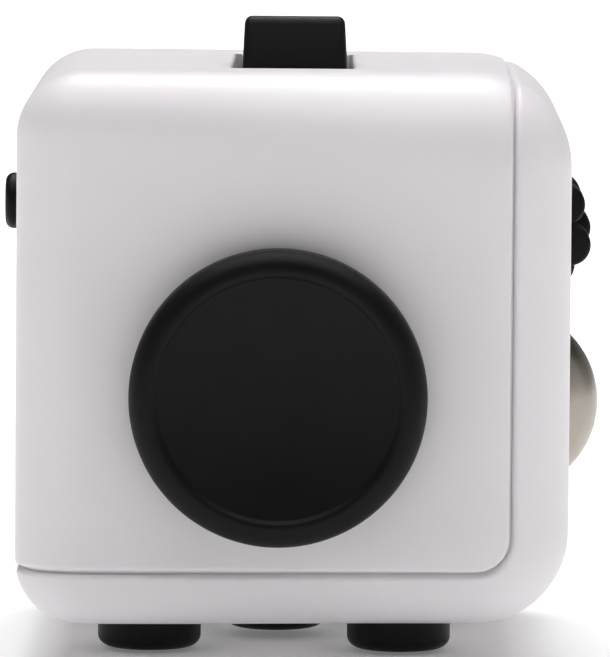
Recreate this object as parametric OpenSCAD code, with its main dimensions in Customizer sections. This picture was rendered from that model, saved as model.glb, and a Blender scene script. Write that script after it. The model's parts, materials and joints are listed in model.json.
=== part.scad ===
// A six-sided fidget cube: a two-part rounded case with a gliding joystick in front, a rocker
// switch on top, a spinning dial on the left, three gear wheels and a rolling ball on the right,
// five push buttons underneath and a thumb hollow at the back.
// X runs to the right, Y to the back, Z up. The origin is under the middle of the whole
// object's box, on the surface that the buttons stand on.

/* [Case] */
// Side of the cube, across two flat faces
cube_side = 33; // [32:0.1:34]
// Radius of the edges round the left face
left_edge_r = 3.9; // [3.4:0.1:4.2]
// Radius of all the other edges
edge_r = 5.6; // [5.2:0.1:6]
// Thickness of the case's walls
wall = 1.8; // [1.6:0.1:1.9]
// Distance from the cube's sides to the seam between the two shells
seam_inset = 3.55; // [3.4:0.05:3.8]
// Width of the seam's groove
seam_gap = 0.22; // [0.15:0.01:0.3]
// Corner radius of the front shell's outline
seam_r = 2.05; // [1.8:0.05:2.3]
// Radius of the thumb hollow in the back
dimple_r = 10.5; // [9:0.5:11]
// Depth of the thumb hollow
dimple_depth = 1.9; // [1.4:0.1:2.2]

/* [Joystick] */
// Radius of the joystick's cap
cap_r = 8.8; // [8.4:0.05:8.9]
// How far the cap stands out of the front
cap_proud = 3.3; // [3:0.1:3.6]
// Gap between the cap's underside and the front
cap_gap = 0.45; // [0.4:0.05:0.6]
// Glide each way from the middle of the front
glide = 2; // [1.8:0.1:2]
// Where the cap rests, to the right of the middle
rest_side = -0.85; // [-1.2:0.05:1.2]
// Height of the middle of the glide above the cube's middle
glide_z = -0.4; // [-0.6:0.1:0]
// Radius of the cap's stem
stem_r = 2.2; // [2:0.1:2.3]

/* [Switch] */
// Where the switch's slot sits, to the right of the cube's middle
switch_x = -0.17; // [-0.3:0.01:0.1]
// Width of the rocker
rocker_w = 6.4; // [6.2:0.05:6.5]
// Distance from the rocker's pivot to each of its ends
rocker_reach = 8.45; // [8.3:0.05:8.5]
// Height of a pressed end above the top of the case
rocker_flush = 0.3; // [0.2:0.05:0.4]
// Angle that the rocker swings through
rocker_swing = 22; // [20:1:23]
// Depth of the pivot below the top of the case
pivot_depth = 3.1; // [3.1:0.1:3.3]

/* [Dial] */
// Radius of the dial's face
dial_r = 10.4; // [10:0.1:10.5]
// Distance of the nub from the dial's middle
nub_at = 7.85; // [7.5:0.05:8.2]
// Radius of the nub
nub_r = 1.7; // [1.5:0.05:1.8]
// How far the nub stands out of the left side
nub_proud = 1.12; // [0.8:0.02:1.3]

/* [Gears] */
// Radius of the gear wheels over their teeth
gear_r = 4.45; // [4.3:0.05:4.5]
// Number of round teeth on each gear wheel
gear_teeth = 8; // [8:1:10]
// Width of each gear wheel
gear_w = 3.3; // [3:0.1:3.4]
// Depth of the gears' axle below the right side
axle_depth = 3; // [3:0.05:3.2]
// Height of the gears' axle above the cube's middle
axle_z = 6.55; // [6.5:0.05:6.7]

/* [Ball] */
// Radius of the ball
ball_r = 5.7; // [5.6:0.05:5.75]
// Depth of the ball's middle below the right side
ball_depth = 3.69; // [3.6:0.01:3.9]
// Height of the ball's middle above the cube's middle
ball_z = -4.12; // [-4.2:0.01:-4]
// How far the ball can be pressed in
ball_press = 1; // [0.8:0.1:1]

/* [Buttons] */
// Radius of the buttons
button_r = 3.1; // [3:0.05:3.15]
// How far the outer buttons stand out of the bottom
button_proud = 2.1; // [1.8:0.1:2.2]
// How far the middle button stands out of the bottom
middle_proud = 1.75; // [1.5:0.05:2]
// Distance of the outer buttons from the middle one, along each side
button_pitch = 7.5; // [7.3:0.1:7.5]
// Where the middle button sits, to the right of the cube's middle
button_offset = -1.07; // [-1.2:0.01:-1]
// How far a button can be pressed
button_press = 1; // [0.8:0.1:1]

/* [Hidden] */
$fn = 64;
eps = 0.01;
fit = 0.05;                                   // radial clearance of a shaft that turns or slides
half = cube_side / 2;
inner = half - wall;                          // from the cube's middle to a wall's inside
seam = half - seam_inset;                     // from the cube's middle to the seam
far = 60;                                     // longer than anything here

// The whole object's box gives the origin.
ball_x = half - ball_depth;
box_left = -half - nub_proud;
box_right = ball_x + ball_r;
origin = [(box_left + box_right) / 2, -cap_proud / 2, -half - button_proud];

// The lip inside the front shell that closes the seam
lip_thick = 0.9;
lip_reach = 1.5;                              // how far it goes past the seam
lip_root = 1;
lip_play = 0.12;
lip_zone = inner - 2.2;                       // the lip lies outside this, beside the outer walls
dimple_pad = 0.8;                             // thickening round the thumb hollow, on the inside

// Joystick
cap_bottom_y = -half - cap_gap;
cap_top_round = 1.7;
cap_foot_round = 0.7;
cap_dish_r = 7;
cap_dish_deep = 0.9;
slider_thick = 1;
slider_half_w = 7.4;
slider_half_h = 8.1;
slider_y = -inner + 0.15;
retainer_y = slider_y + slider_thick + 0.15;
retainer_r = 4.2;
retainer_thick = 1;
stem_hole_r = stem_r + glide * sqrt(2) + 0.12;
rail_ends = [-10.5, 8.6];
rail_play = 0.1;
rail_w = 0.9;
rail_deep = 1.8;
joystick_screw_l = 3.6;

// Switch
pivot_z = half - pivot_depth;
rocker_x = 0.1;                               // it sits a little to the right in its slot
slot_half_w = 3.6;
slot_half_l = rocker_reach + 0.3;
rocker_top = pivot_depth + rocker_flush;      // above the pivot
rocker_skirt = 2.5;                           // below the pivot
rocker_side = 1.15;                           // thickness of its sides and ends
rocker_skin = 1.4;                            // thickness of its top
rocker_rib = 2.3;                             // half of the solid middle's length
pin_r = 0.8;
barrel_r = 1.7;
barrel_end = 4.5;                             // below the pivot
plunger_r = 0.9;
plunger_tip = 5.5;
plunger_top = 3.4;
plunger_hole_top = 1.4;
ear_in = 3.75;
ear_out = 4.95;
cradle_floor = 6.9;
cradle_floor_thick = 2;
cradle_half_l = 2.4;
cradle_top = 1.05;                            // above the pivot
foot_x = 7.4;
foot_z = 12.2;
foot_thick = 1.1;
foot_r = 1.9;
switch_screw_l = 3.4;

// Dial
dial_face_x = -half + 0.15;
flange_r = 11.3;
flange_x = -inner + 0.15;
flange_thick = 1;
hub_r = 2.5;
bridge_x = -12.5;
bridge_thick = 1.5;
dial_screw_y = 11;
dial_screw_z = [11, -10.2];
dial_screw_l = 4;
washer_r = 4.6;
bridge_r = 5;
bridge_bar = 1.4;                             // half of its bars' width
nub_round = 0.5;

// Gears
axle_x = half - axle_depth;
axle_r = 0.9;
tooth_r = 1.25;
gear_pitch = 3.8;
gear_phase = [14, 0, 14];                     // degrees, front to rear
spacer_r = 1.9;
spacer_half = 0.2;
gear_ear_in = 5.8;
gear_ear_out = 7.3;
gear_ear_half_h = 1.8;
carrier_x = 7;
carrier_thick = 1.6;
carrier_half_h = 2;
side_boss_y = 9.6;
side_screw_l = carrier_thick + 2.6;
window_half_w = 5.75;
window_play = 0.15;

// Ball
cup_r = 6.2;
cup_front_x = 10.9;
cup_back_x = 5.4;
cup_stem_r = 1.5;
cup_play = 0.15;
ball_hole_r = 4.5;
ball_pocket_play = 0.12;
seat_r = 4.6;
seat_hole_r = 2.4;
seat_front = -3.75;                           // from the ball's middle
ball_carrier_x = 2.4;
ball_carrier_half_h = 2.4;

// Buttons
flange_z = -inner + 0.1;
button_flange_r = 3.8;
button_flange = 0.7;
button_edge = 0.9;
button_stem_r = 0.9;
plate_z = -11.4;
plate_thick = 0.9;
plate_rim = 2.55;
dome_r = 1.3;
dome_h = 0.3;
dome_thick = 0.1;
dome_gap = 0.2;                               // between a pressed stem's tip and its dome
stem_tip = plate_z - dome_h - dome_gap - button_press;
button_places = [
    [button_offset - button_pitch, -button_pitch], [button_offset + button_pitch, -button_pitch],
    [button_offset, 0],
    [button_offset - button_pitch, button_pitch], [button_offset + button_pitch, button_pitch]
];
button_screw_at = [[button_offset, -9.8], [button_offset, 9.8], [button_offset - 8.5, 0]];
button_screw_l = 3.5;

// Bosses and screws
boss_r = 1.8;
screw_r = 0.75;
screw_play = 0.05;
hole_in_wall = 0.8;                           // how far a boss's screw hole goes into the wall
head_r = 1.45;
head_thick = 0.7;
cross_l = 1.8;
cross_w = 0.32;
cross_z = 0.35;

// Moves a part from the cube's own middle to the object's frame.
module framed() {
    translate([-origin[0], -origin[1], -origin[2]]) children();
}

// Turns a part that is drawn along +Z to point along the named direction.
module along_x() { rotate([0, 90, 0]) children(); }
module along_y() { rotate([-90, 0, 0]) children(); }

module rod(r, low, high) {
    translate([0, 0, low]) cylinder(r = r, h = high - low);
}

module slab(low, high) {
    translate(low) cube(high - low);
}

// A rectangle with one corner radius on its left and another on its right.
module outline(half_size, left_r, right_r) {
    for (up = [-1, 1]) {
        translate([-half_size + left_r, up * (half_size - left_r)]) circle(r = left_r);
        translate([half_size - right_r, up * (half_size - right_r)]) circle(r = right_r);
    }
    translate([-half_size + left_r, -half_size])
        square([2 * half_size - left_r - right_r, 2 * half_size]);
    translate([-half_size, -half_size + left_r])
        square([half_size, 2 * (half_size - left_r)]);
    translate([0, -half_size + right_r])
        square([half_size, 2 * (half_size - right_r)]);
}

// The cube with rounded edges, drawn smaller by inset on every side.
module rounded_cube(inset) {
    h = half - inset;
    l = left_edge_r - inset;
    r = edge_r - inset;
    intersection() {
        linear_extrude(height = 2 * h, center = true) outline(h, l, r);
        rotate([90, 0, 0]) linear_extrude(height = 2 * h, center = true) outline(h, l, r);
        rotate([90, 0, 90]) linear_extrude(height = 2 * h, center = true) outline(h, r, r);
    }
}

// The corner block that the front shell fills, grown by more on its three inner sides.
module corner_block(more) {
    s = seam + more;
    r = seam_r + more;
    difference() {
        slab([-far, -far, -s], [s, s, far]);
        translate([s, 0, -s]) rotate([90, 0, 0]) corner_cutter(r, 2);
        translate([s, s, 0]) corner_cutter(r, 3);
        translate([0, s, -s]) rotate([90, 0, 90]) corner_cutter(r, 2);
    }
}

// What rounds a square corner at the origin of the plane, in the quarter that the number names.
module corner_cutter(r, quarter) {
    side = quarter == 2 ? [-1, 1] : [-1, -1];
    linear_extrude(height = 2 * far, center = true) difference() {
        translate([side[0] * r / 2, side[1] * r / 2]) square(r + eps, center = true);
        translate([side[0] * r, side[1] * r]) circle(r = r);
    }
}

module shell_walls() {
    difference() {
        rounded_cube(0);
        rounded_cube(wall);
    }
}

// A round boss that stands on a wall at 0 and rises along Z.
module boss(height) {
    rod(boss_r, -eps, height);
}

// A pan-head screw along Z: the head's underside is at 0 and the shank points down.
module screw(length) {
    rod(screw_r, -length, 0);
    difference() {
        rod(head_r, 0, head_thick);
        for (turn = [0, 90]) rotate([0, 0, turn])
            slab([-cross_l / 2, -cross_w / 2, cross_z], [cross_l / 2, cross_w / 2, head_thick + 1]);
    }
}

// ---- Case ----

module dial_bosses() {
    for (y = [-1, 1], z = dial_screw_z)
        translate([-inner, y * dial_screw_y, z]) along_x() boss(bridge_x + inner);
}

module switch_bosses() {
    for (x = [-1, 1])
        translate([switch_x + x * foot_x, 0, inner]) mirror([0, 0, 1]) boss(inner - foot_z);
}

module slider_rails() {
    low = slider_half_h + rail_play;
    translate([0, 0, glide_z]) for (up = [0, 1]) mirror([0, 0, up])
        slab([rail_ends[0], -inner - eps, low], [rail_ends[1], -inner + rail_deep, low + rail_w]);
}

// The lip follows the seam, and stops short of the rear shell's own three walls.
module seam_lip() {
    difference() {
        union() {
            intersection() {
                rounded_cube(wall - eps);
                corner_block(0);
            }
            intersection() {
                rounded_cube(wall + lip_play);
                corner_block(lip_reach);
            }
        }
        rounded_cube(wall + lip_thick);
        corner_block(-lip_root);
        slab([-lip_zone, -lip_zone, -far], [far, far, lip_zone]);
    }
}

module front_shell() {
    color("white") framed() difference() {
        union() {
            intersection() {
                shell_walls();
                corner_block(0);
            }
            seam_lip();
            dial_bosses();
            switch_bosses();
            slider_rails();
        }
        translate([0, 0, glide_z]) along_y() rod(stem_hole_r, -half - 1, -inner + eps);
        translate([switch_x, 0, 0])
            slab([-slot_half_w, -slot_half_l, inner - 1], [slot_half_w, slot_half_l, half + 1]);
        along_x() rod(dial_r + 0.12, -half - 1, -inner + eps);
        for (y = [-1, 1], z = dial_screw_z)
            translate([0, y * dial_screw_y, z]) along_x()
                rod(screw_r, -inner - hole_in_wall, bridge_x + eps);
        for (x = [-1, 1])
            translate([switch_x + x * foot_x, 0, 0]) rod(screw_r, foot_z - eps, inner + hole_in_wall);
    }
}

module side_bosses(z, end) {
    for (y = [-1, 1])
        translate([inner, y * side_boss_y, z]) mirror([1, 0, 0]) along_x() boss(inner - end);
}

module side_boss_holes(z, end) {
    for (y = [-1, 1])
        translate([0, y * side_boss_y, z]) along_x() rod(screw_r, end - eps, end + side_screw_l);
}

module rear_shell() {
    dimple_sphere = (dimple_r * dimple_r + dimple_depth * dimple_depth) / (2 * dimple_depth);
    color("white") framed() difference() {
        union() {
            difference() {
                shell_walls();
                corner_block(seam_gap);
            }
            along_y() rod(dimple_r + dimple_pad, inner - dimple_depth + dimple_pad / 2, inner + eps);
            side_bosses(axle_z, carrier_x + carrier_thick);
            side_bosses(ball_z, ball_carrier_x + carrier_thick);
            for (at = button_screw_at) translate([at[0], at[1], -inner]) boss(plate_z + inner);
        }
        translate([0, half - dimple_depth + dimple_sphere, 0]) sphere(r = dimple_sphere, $fn = 160);
        side_boss_holes(axle_z, carrier_x + carrier_thick);
        side_boss_holes(ball_z, ball_carrier_x + carrier_thick);
        slab([inner - 1, -window_half_w, axle_z - gear_r - window_play],
            [half + 1, window_half_w, axle_z + gear_r + window_play]);
        translate([ball_x, 0, ball_z]) sphere(r = ball_r + ball_pocket_play, $fn = 96);
        translate([0, 0, ball_z]) along_x() rod(ball_hole_r, ball_x, half + 1);
        for (at = button_places) translate([at[0], at[1], 0]) rod(button_r + fit, -half - 1, -inner + 1);
        for (at = button_screw_at)
            translate([at[0], at[1], 0]) rod(screw_r, -inner - hole_in_wall, plate_z + eps);
    }
}

// ---- Joystick ----

// The cap rests at the bottom of its glide.
module joystick_place() {
    translate([rest_side, 0, glide_z - glide]) children();
}

// Half the cap's outline, as a radius and a height in front of its underside.
module cap_section() {
    thick = cap_proud - cap_gap;
    edge = cap_r - cap_top_round;
    shoulder = thick - cap_top_round;
    dish_curve = (cap_dish_r * cap_dish_r + cap_dish_deep * cap_dish_deep) / (2 * cap_dish_deep);
    difference() {
        union() {
            square([edge, thick]);
            square([cap_r - cap_foot_round, shoulder]);
            translate([0, cap_foot_round]) square([cap_r, shoulder - cap_foot_round]);
            intersection() {
                translate([edge, shoulder]) circle(r = cap_top_round);
                translate([0, shoulder]) square(cap_r);
            }
            translate([cap_r - cap_foot_round, cap_foot_round]) circle(r = cap_foot_round);
        }
        translate([0, thick - cap_dish_deep + dish_curve]) circle(r = dish_curve, $fn = 160);
        translate([-far, -far]) square([far, 2 * far]);
    }
}

module joystick_cap() {
    color("black") framed() joystick_place() difference() {
        union() {
            translate([0, cap_bottom_y, 0]) rotate([90, 0, 0]) rotate_extrude() cap_section();
            along_y() rod(stem_r, cap_bottom_y - eps, retainer_y);
        }
        along_y() rod(screw_r, cap_bottom_y + 0.2, retainer_y + eps);
    }
}

// A plate that slides sideways between two rails; the stem slides up and down in its slot.
module joystick_slider() {
    slot_w = stem_r + fit;
    slot_h = glide + stem_r + 0.1;
    color("dimgray") framed() translate([0, 0, glide_z]) difference() {
        slab([rest_side - slider_half_w, slider_y, -slider_half_h],
            [rest_side + slider_half_w, slider_y + slider_thick, slider_half_h]);
        slab([rest_side - slot_w, slider_y - 1, -slot_h],
            [rest_side + slot_w, slider_y + slider_thick + 1, slot_h]);
    }
}

module joystick_retainer() {
    color("silver") framed() joystick_place() along_y() difference() {
        rod(retainer_r, retainer_y, retainer_y + retainer_thick);
        rod(screw_r, retainer_y - 1, retainer_y + retainer_thick + 1);
    }
}

module joystick_screw() {
    color("silver") framed() joystick_place()
        translate([0, retainer_y + retainer_thick, 0]) along_y() screw(joystick_screw_l);
}

// ---- Switch ----

module switch_place() {
    translate([switch_x, 0, pivot_z]) children();
}

// A point on the level rear half, carried over to the raised front half.
function raised(y, z) = [
    -y * cos(rocker_swing) + z * sin(rocker_swing),
    y * sin(rocker_swing) + z * cos(rocker_swing)
];

// The hollow under one half of the rocker, at +Y of the pivot.
module rocker_hollow() {
    half_w = rocker_w / 2 - rocker_side;
    slab([rocker_x - half_w, rocker_rib, -far],
        [rocker_x + half_w, rocker_reach - rocker_side, rocker_top - rocker_skin]);
}

// Turns the plunger's parts to the middle of the rocker.
module plunger_place() {
    translate([rocker_x, 0, 0]) rotate([-rocker_swing / 2, 0, 0]) children();
}

module switch_rocker() {
    middle = tan(rocker_swing / 2);
    color("black") framed() switch_place() difference() {
        union() {
            translate([rocker_x - rocker_w / 2, 0, 0]) rotate([90, 0, 90])
                linear_extrude(height = rocker_w) polygon([
                    [rocker_top * middle, rocker_top],
                    [rocker_reach, rocker_top],
                    [rocker_reach, -rocker_skirt],
                    [-rocker_skirt * middle, -rocker_skirt],
                    raised(rocker_reach, -rocker_skirt),
                    raised(rocker_reach, rocker_top)
                ]);
            plunger_place() rod(barrel_r, -barrel_end, 0);
        }
        rocker_hollow();
        rotate([-rocker_swing, 0, 0]) mirror([0, 1, 0]) rocker_hollow();
        along_x() rod(pin_r + fit, -far, far);
        plunger_place() rod(plunger_r + fit, -far, -plunger_hole_top);
    }
}

module switch_pin() {
    color("silver") framed() switch_place() along_x() rod(pin_r, -ear_out, ear_out);
}

module switch_plunger() {
    color("silver") framed() switch_place() plunger_place() {
        rod(plunger_r, -plunger_tip + plunger_r, -plunger_top);
        translate([0, 0, -plunger_tip + plunger_r]) sphere(r = plunger_r);
    }
}

module switch_spring() {
    color("silver") framed() switch_place() plunger_place()
        translate([0, 0, fit - plunger_top]) coil(0.68, 0.11, plunger_top - plunger_hole_top - 2 * fit, 5);
}

module switch_cradle() {
    floor = pivot_z - cradle_floor;
    long = cradle_half_l;
    color("dimgray") framed() translate([switch_x, 0, 0]) difference() {
        union() {
            for (side = [0, 1]) mirror([side, 0, 0]) {
                slab([ear_in, -long, floor], [ear_out, long, pivot_z + cradle_top]);
                slab([ear_in, -foot_r, foot_z - foot_thick], [foot_x, foot_r, foot_z]);
                translate([foot_x, 0, 0]) rod(foot_r, foot_z - foot_thick, foot_z);
            }
            slab([-ear_out, -long, floor], [ear_out, long, floor + cradle_floor_thick]);
        }
        translate([0, 0, pivot_z]) along_x() {
            rod(plunger_tip + 0.1, -ear_in + eps, ear_in - eps);
            rod(pin_r, -far, far);
        }
        for (x = [-1, 1]) translate([x * foot_x, 0, 0]) rod(screw_r + screw_play, 0, foot_z + 1);
    }
}

module switch_screws() {
    color("silver") framed() for (x = [-1, 1])
        translate([switch_x + x * foot_x, 0, foot_z - foot_thick]) mirror([0, 0, 1])
            screw(switch_screw_l);
}

// ---- Dial ----

module dial() {
    nub_top = half + nub_proud;
    color("black") framed() union() {
        along_x() {
            rod(dial_r, dial_face_x, flange_x + eps);
            rod(flange_r, flange_x, flange_x + flange_thick);
            rod(hub_r, flange_x, bridge_x + bridge_thick + 0.5);
        }
        translate([0, 0, nub_at]) along_x() {
            rod(nub_r, nub_round - nub_top, dial_face_x + eps);
            rod(nub_r - nub_round, -nub_top, dial_face_x);
            translate([0, 0, nub_round - nub_top])
                rotate_extrude() translate([nub_r - nub_round, 0]) circle(r = nub_round);
        }
    }
}

module dial_washer() {
    color("silver") framed() along_x() difference() {
        rod(washer_r, flange_x + flange_thick + fit, bridge_x - fit);
        rod(hub_r + 2 * fit, -far, far);
    }
}

module dial_bridge() {
    bar = bridge_bar;
    back = bridge_x + bridge_thick;
    color("dimgray") framed() difference() {
        union() {
            along_x() rod(bridge_r, bridge_x, back);
            slab([bridge_x, -dial_screw_y, -bar], [back, dial_screw_y, bar]);
            for (y = [-dial_screw_y, dial_screw_y]) {
                slab([bridge_x, y - bar, dial_screw_z[1]], [back, y + bar, dial_screw_z[0]]);
                for (z = dial_screw_z) translate([0, y, z]) along_x() rod(boss_r, bridge_x, back);
            }
        }
        along_x() rod(hub_r + fit, -far, far);
        for (y = [-1, 1], z = dial_screw_z)
            translate([0, y * dial_screw_y, z]) along_x() rod(screw_r + screw_play, -far, far);
    }
}

module dial_screws() {
    color("silver") framed() for (y = [-1, 1], z = dial_screw_z)
        translate([bridge_x + bridge_thick, y * dial_screw_y, z]) along_x() screw(dial_screw_l);
}

// ---- Gears ----

module gear_place() {
    translate([axle_x, 0, axle_z]) along_y() children();
}

// The wheel's outline at an angle from the middle of the nearest tooth. Each tooth is a circle
// whose middle lies on the root circle.
function tooth_outline(angle) =
    let (root = gear_r - tooth_r, across = root * sin(angle))
    abs(across) < tooth_r ? root * cos(angle) + sqrt(tooth_r * tooth_r - across * across) : root;

// The number of the gear counts from 0 in front to 2 at the rear.
module gear_wheel(number) {
    middle = (number - 1) * gear_pitch;
    tooth_angle = 360 / gear_teeth;
    steps = 14;
    color("black") framed() gear_place() difference() {
        translate([0, 0, middle - gear_w / 2]) rotate([0, 0, gear_phase[number]])
            linear_extrude(height = gear_w) polygon([
                for (tooth = [0:gear_teeth - 1], step = [0:steps - 1])
                    let (off = tooth_angle * (step / steps - 0.5), r = tooth_outline(off))
                    [r * cos(tooth * tooth_angle + off), r * sin(tooth * tooth_angle + off)]
            ]);
        rod(axle_r + fit, -far, far);
    }
}

module gear_axle() {
    color("silver") framed() gear_place() rod(axle_r, -gear_ear_out, gear_ear_out);
}

module gear_spacers() {
    color("silver") framed() gear_place() for (side = [-1, 1])
        translate([0, 0, side * gear_pitch / 2]) difference() {
            rod(spacer_r, -spacer_half, spacer_half);
            rod(axle_r + fit / 2, -far, far);
        }
}

// A flat bracket across two side bosses.
module side_plate(z, x, half_h) {
    slab([x, -side_boss_y, z - half_h], [x + carrier_thick, side_boss_y, z + half_h]);
    for (y = [-1, 1]) translate([0, y * side_boss_y, z]) along_x() rod(boss_r, x, x + carrier_thick);
}

module side_plate_holes(z) {
    for (y = [-1, 1]) translate([0, y * side_boss_y, z]) along_x()
        rod(screw_r + screw_play, -far, far);
}

module side_screws(z, x) {
    color("silver") framed() for (y = [-1, 1])
        translate([x, y * side_boss_y, z]) mirror([1, 0, 0]) along_x() screw(side_screw_l);
}

module gear_carrier() {
    color("dimgray") framed() difference() {
        union() {
            side_plate(axle_z, carrier_x, carrier_half_h);
            for (side = [0, 1]) mirror([0, side, 0])
                slab([carrier_x, gear_ear_in, axle_z - gear_ear_half_h],
                    [inner - 0.1, gear_ear_out, axle_z + gear_ear_half_h]);
        }
        gear_place() rod(axle_r, -far, far);
        side_plate_holes(axle_z);
    }
}

module gear_screws() {
    side_screws(axle_z, carrier_x);
}

// ---- Ball ----

module ball_place() {
    translate([ball_x, 0, ball_z]) children();
}

module roller_ball() {
    color("lightgray") framed() ball_place() sphere(r = ball_r, $fn = 96);
}

// A slippery ring that the ball runs on; it turns in the cup.
module ball_seat() {
    color("ivory") framed() ball_place() difference() {
        along_x() rod(seat_r, -ball_r, seat_front);
        sphere(r = ball_r + fit, $fn = 96);
        along_x() rod(seat_hole_r, -far, far);
    }
}

module ball_cup() {
    color("dimgray") framed() difference() {
        translate([0, 0, ball_z]) along_x() {
            rod(cup_r, cup_back_x, cup_front_x);
            rod(cup_stem_r, ball_carrier_x - ball_press, cup_back_x + eps);
        }
        ball_place() {
            sphere(r = ball_r + cup_play, $fn = 96);
            along_x() rod(seat_r + fit, -ball_r - fit, 0);
        }
    }
}

module ball_spring() {
    color("silver") framed() translate([ball_carrier_x + carrier_thick, 0, ball_z])
        along_x() coil(2.2, 0.16, cup_back_x - ball_carrier_x - carrier_thick, 3);
}

module ball_carrier() {
    color("dimgray") framed() difference() {
        side_plate(ball_z, ball_carrier_x, ball_carrier_half_h);
        translate([0, 0, ball_z]) along_x() rod(cup_stem_r + fit, -far, far);
        side_plate_holes(ball_z);
    }
}

module ball_screws() {
    side_screws(ball_z, ball_carrier_x);
}

// ---- Buttons ----

module push_button(number) {
    at = button_places[number];
    face = -half - (number == 2 ? middle_proud : button_proud);
    color("black") framed() translate([at[0], at[1], 0]) union() {
        rod(button_r, face + button_edge, flange_z + eps);
        rod(button_r - button_edge, face, flange_z);
        translate([0, 0, face + button_edge])
            rotate_extrude() translate([button_r - button_edge, 0]) circle(r = button_edge);
        rod(button_flange_r, flange_z, flange_z + button_flange);
        rod(button_stem_r, flange_z, stem_tip);
    }
}

module button_spring(number) {
    at = button_places[number];
    foot = flange_z + button_flange;
    color("silver") framed() translate([at[0], at[1], foot]) coil(2.3, 0.14, plate_z - foot, 4);
}

// The snap domes over the three buttons that click: two in front and the middle one.
module click_domes() {
    curve = (dome_r * dome_r + dome_h * dome_h) / (2 * dome_h);
    color("silver") framed() for (number = [0, 1, 2])
        translate([button_places[number][0], button_places[number][1], plate_z])
            rotate_extrude() intersection() {
                translate([0, curve - dome_h]) difference() {
                    circle(r = curve);
                    circle(r = curve - dome_thick);
                }
                translate([0, -dome_h]) square([dome_r, dome_h]);
            }
}

module button_plate() {
    reach = 2 * (button_pitch + plate_rim);
    color("dimgray") framed() difference() {
        union() {
            translate([button_offset, 0, plate_z + plate_thick / 2]) {
                cube([2 * button_pitch, reach, plate_thick], center = true);
                cube([reach, 2 * button_pitch, plate_thick], center = true);
            }
            for (number = [0, 1, 3, 4])
                translate([button_places[number][0], button_places[number][1], 0])
                    rod(plate_rim, plate_z, plate_z + plate_thick);
            for (at = button_screw_at)
                translate([at[0], at[1], 0]) rod(boss_r + 0.2, plate_z, plate_z + plate_thick);
        }
        for (at = button_screw_at)
            translate([at[0], at[1], 0]) rod(screw_r + screw_play, -far, far);
    }
}

module button_screws() {
    color("silver") framed() for (at = button_screw_at)
        translate([at[0], at[1], plate_z + plate_thick]) screw(button_screw_l);
}

// ---- Springs ----

// A coil spring along Z from 0 to length, with level end turns. Rings of points follow the wire.
module coil(radius, wire, length, turns) {
    steps = 14 * turns;
    sides = 6;
    rise = length - 2 * wire;
    path = [for (i = [0:steps])
        let (turn = 360 * turns * i / steps, up = wire + rise * i / steps)
        [radius * cos(turn), radius * sin(turn), up]];
    points = [for (i = [0:steps], k = [0:sides - 1])
        let (turn = 360 * turns * i / steps, round = 360 * k / sides,
            out = radius + wire * cos(round))
        [out * cos(turn), out * sin(turn), path[i][2] + wire * sin(round)]];
    ends = [
        [for (k = [0:sides - 1]) k],
        [for (k = [sides - 1:-1:0]) steps * sides + k]
    ];
    walls = [for (i = [0:steps - 1], k = [0:sides - 1])
        let (n = (k + 1) % sides)
        [i * sides + k, (i + 1) * sides + k, (i + 1) * sides + n, i * sides + n]];
    polyhedron(points = points, faces = concat(ends, walls), convexity = 10);
}

// ---- Assembly ----

front_shell();
rear_shell();
joystick_cap();
joystick_slider();
joystick_retainer();
joystick_screw();
switch_rocker();
switch_pin();
switch_plunger();
switch_spring();
switch_cradle();
switch_screws();
dial();
dial_washer();
dial_bridge();
dial_screws();
gear_wheel(0);  // gear_front
gear_wheel(1);  // gear_middle
gear_wheel(2);  // gear_rear
gear_axle();
gear_spacers();
gear_carrier();
gear_screws();
roller_ball();
ball_seat();
ball_cup();
ball_spring();
ball_carrier();
ball_screws();
push_button(0);  // button_front_left
push_button(1);  // button_front_right
push_button(2);  // button_middle
push_button(3);  // button_rear_left
push_button(4);  // button_rear_right
button_spring(0);  // spring_front_left
button_spring(1);  // spring_front_right
button_spring(2);  // spring_middle
button_spring(3);  // spring_rear_left
button_spring(4);  // spring_rear_right
click_domes();
button_plate();
button_screws();
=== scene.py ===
"""Looks of a fidget cube: two white moulded shells with every edge rounded, a dished joystick cap,
a rocker switch, a dial with its nub, gear wheels, a steel ball and five push buttons.

Shapes are worked out in millimetres from the cube's own middle, with X to the right, Y to the back
and Z up, and are put into the frame's metres as each mesh is made."""

import json
import math

import bmesh
import bpy
import numpy as np
from mathutils import Matrix, Vector

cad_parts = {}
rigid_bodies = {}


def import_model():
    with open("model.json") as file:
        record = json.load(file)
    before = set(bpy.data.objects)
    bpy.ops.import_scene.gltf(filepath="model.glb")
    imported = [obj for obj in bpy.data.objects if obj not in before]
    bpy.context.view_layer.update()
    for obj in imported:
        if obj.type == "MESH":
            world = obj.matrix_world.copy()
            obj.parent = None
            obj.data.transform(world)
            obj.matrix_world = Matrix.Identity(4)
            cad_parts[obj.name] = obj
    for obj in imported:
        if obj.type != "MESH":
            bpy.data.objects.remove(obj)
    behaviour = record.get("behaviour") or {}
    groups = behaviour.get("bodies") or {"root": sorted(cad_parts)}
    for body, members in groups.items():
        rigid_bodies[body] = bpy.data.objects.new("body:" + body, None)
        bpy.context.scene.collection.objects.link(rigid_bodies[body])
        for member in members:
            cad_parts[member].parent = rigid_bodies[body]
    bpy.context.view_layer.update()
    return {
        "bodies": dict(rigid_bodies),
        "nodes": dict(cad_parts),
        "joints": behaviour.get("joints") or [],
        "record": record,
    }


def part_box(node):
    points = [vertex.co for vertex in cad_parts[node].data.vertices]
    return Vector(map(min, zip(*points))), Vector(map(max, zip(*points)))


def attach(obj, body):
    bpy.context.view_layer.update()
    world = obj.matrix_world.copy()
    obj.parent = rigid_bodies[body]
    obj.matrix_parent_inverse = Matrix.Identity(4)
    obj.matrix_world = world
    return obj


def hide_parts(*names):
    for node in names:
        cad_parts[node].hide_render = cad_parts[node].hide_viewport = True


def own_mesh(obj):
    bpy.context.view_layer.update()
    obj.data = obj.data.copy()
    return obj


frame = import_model()

# ---- Sizes, read from the frame ----

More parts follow.
